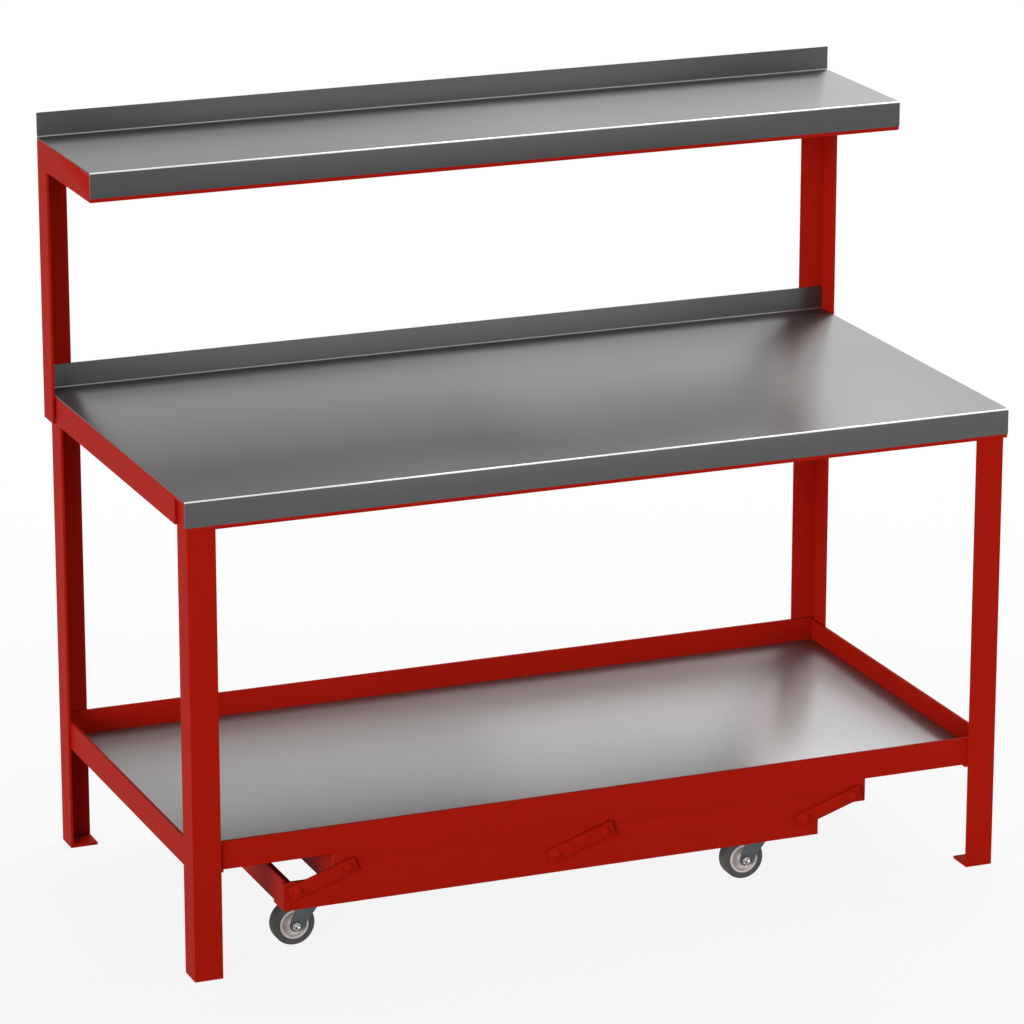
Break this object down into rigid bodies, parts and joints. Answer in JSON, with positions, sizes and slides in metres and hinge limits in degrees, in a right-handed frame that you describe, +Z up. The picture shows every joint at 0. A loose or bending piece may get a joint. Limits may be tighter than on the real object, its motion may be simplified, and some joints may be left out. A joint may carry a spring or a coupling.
{
  "type": "mobile workbench",
  "caption": "Welded steel workbench with a folded sheet worktop, an upper shelf, a low tray and a link-hung frame that swings down to put swivel casters on the floor.",
  "frame": {"origin": "on the floor, under the middle of the whole bench", "axes": "+Z up, +X to the right seen from the front, -Y to the front"},
  "size_m": [1.51, 0.757, 1.333],
  "materials": {
    "red_paint": "gloss",
    "steel_sheet": "satin",
    "plated_steel": "satin",
    "fork_steel": "satin",
    "hub_plastic": "matte",
    "rubber": "matte"
  },
  "bodies": {
    "bench": {"leg_front_left": "red_paint", "leg_front_right": "red_paint", "leg_rear_left": "red_paint", "leg_rear_right": "red_paint", "foot_front_left": "red_paint", "foot_front_right": "red_paint", "foot_rear_left": "red_paint", "foot_rear_right": "red_paint", "worktop_rail_front": "red_paint", "worktop_rail_rear": "red_paint", "worktop_rail_left": "red_paint", "worktop_rail_right": "red_paint", "worktop_sheet": "steel_sheet", "riser_left": "red_paint", "riser_right": "red_paint", "shelf_rail_front": "red_paint", "shelf_rail_rear": "red_paint", "shelf_rail_left": "red_paint", "shelf_rail_right": "red_paint", "shelf_sheet": "steel_sheet", "tray_rail_front": "red_paint", "tray_rail_rear": "red_paint", "tray_rail_left": "red_paint", "tray_rail_right": "red_paint", "tray_sheet": "steel_sheet", "skirt_front": "red_paint", "skirt_rear": "red_paint", "cross_member_left": "red_paint", "cross_member_right": "red_paint"},
    "lift_frame": {"lift_rail_front": "red_paint", "lift_rail_rear": "red_paint", "lift_cross_left": "red_paint", "lift_cross_right": "red_paint", "caster_plate_front_left": "plated_steel", "caster_plate_front_right": "plated_steel", "caster_plate_rear_left": "plated_steel", "caster_plate_rear_right": "plated_steel"},
    "link_front_left": {"link_front_left": "red_paint"},
    "link_front_middle": {"link_front_middle": "red_paint"},
    "link_front_right": {"link_front_right": "red_paint"},
    "link_rear_left": {"link_rear_left": "red_paint"},
    "link_rear_middle": {"link_rear_middle": "red_paint"},
    "link_rear_right": {"link_rear_right": "red_paint"},
    "fork_front_left": {"caster_fork_front_left": "fork_steel", "caster_axle_front_left": "plated_steel"},
    "wheel_front_left": {"caster_tyre_front_left": "rubber", "caster_hub_front_left": "hub_plastic"},
    "fork_front_right": {"caster_fork_front_right": "fork_steel", "caster_axle_front_right": "plated_steel"},
    "wheel_front_right": {"caster_tyre_front_right": "rubber", "caster_hub_front_right": "hub_plastic"},
    "fork_rear_left": {"caster_fork_rear_left": "fork_steel", "caster_axle_rear_left": "plated_steel"},
    "wheel_rear_left": {"caster_tyre_rear_left": "rubber", "caster_hub_rear_left": "hub_plastic"},
    "fork_rear_right": {"caster_fork_rear_right": "fork_steel", "caster_axle_rear_right": "plated_steel"},
    "wheel_rear_right": {"caster_tyre_rear_right": "rubber", "caster_hub_rear_right": "hub_plastic"}
  },
  "joints": [
    {"name": "lift_swing", "type": "hinge", "parent": "bench", "child": "link_front_middle", "pos_m": [0, -0.3665, 0.167], "axis": [0, -1, 0], "range_deg": [0, 71.56]},
    {"name": "lift_level", "type": "hinge", "parent": "link_front_middle", "child": "lift_frame", "pos_m": [-0.09, -0.3665, 0.137], "axis": [0, -1, 0], "range_deg": [-71.56, 0]},
    {"name": "link_swing_front_left", "type": "hinge", "parent": "bench", "child": "link_front_left", "pos_m": [-0.47, -0.3665, 0.167], "axis": [0, -1, 0], "range_deg": [0, 71.56]},
    {"name": "link_swing_front_right", "type": "hinge", "parent": "bench", "child": "link_front_right", "pos_m": [0.47, -0.3665, 0.167], "axis": [0, -1, 0], "range_deg": [0, 71.56]},
    {"name": "link_swing_rear_left", "type": "hinge", "parent": "bench", "child": "link_rear_left", "pos_m": [-0.47, 0.3635, 0.167], "axis": [0, -1, 0], "range_deg": [0, 71.56]},
    {"name": "link_swing_rear_middle", "type": "hinge", "parent": "bench", "child": "link_rear_middle", "pos_m": [0, 0.3635, 0.167], "axis": [0, -1, 0], "range_deg": [0, 71.56]},
    {"name": "link_swing_rear_right", "type": "hinge", "parent": "bench", "child": "link_rear_right", "pos_m": [0.47, 0.3635, 0.167], "axis": [0, -1, 0], "range_deg": [0, 71.56]},
    {"name": "swivel_front_left", "type": "hinge", "parent": "lift_frame", "child": "fork_front_left", "pos_m": [-0.509, -0.2765, 0.09], "axis": [0, 0, 1], "continuous": true},
    {"name": "roll_front_left", "type": "hinge", "parent": "fork_front_left", "child": "wheel_front_left", "pos_m": [-0.539, -0.2765, 0.0445], "axis": [0, 1, 0], "continuous": true},
    {"name": "swivel_front_right", "type": "hinge", "parent": "lift_frame", "child": "fork_front_right", "pos_m": [0.329, -0.2765, 0.09], "axis": [0, 0, 1], "continuous": true},
    {"name": "roll_front_right", "type": "hinge", "parent": "fork_front_right", "child": "wheel_front_right", "pos_m": [0.299, -0.2765, 0.0445], "axis": [0, 1, 0], "continuous": true},
    {"name": "swivel_rear_left", "type": "hinge", "parent": "lift_frame", "child": "fork_rear_left", "pos_m": [-0.509, 0.2735, 0.09], "axis": [0, 0, 1], "continuous": true},
    {"name": "roll_rear_left", "type": "hinge", "parent": "fork_rear_left", "child": "wheel_rear_left", "pos_m": [-0.539, 0.2735, 0.0445], "axis": [0, 1, 0], "continuous": true},
    {"name": "swivel_rear_right", "type": "hinge", "parent": "lift_frame", "child": "fork_rear_right", "pos_m": [0.329, 0.2735, 0.09], "axis": [0, 0, 1], "continuous": true},
    {"name": "roll_rear_right", "type": "hinge", "parent": "fork_rear_right", "child": "wheel_rear_right", "pos_m": [0.299, 0.2735, 0.0445], "axis": [0, 1, 0], "continuous": true}
  ],
  "couplings": [
    {"joint": "lift_level", "follows": "lift_swing", "ratio": -1},
    {"joint": "link_swing_front_left", "follows": "lift_swing", "ratio": 1},
    {"joint": "link_swing_front_right", "follows": "lift_swing", "ratio": 1},
    {"joint": "link_swing_rear_left", "follows": "lift_swing", "ratio": 1},
    {"joint": "link_swing_rear_middle", "follows": "lift_swing", "ratio": 1},
    {"joint": "link_swing_rear_right", "follows": "lift_swing", "ratio": 1}
  ]
}
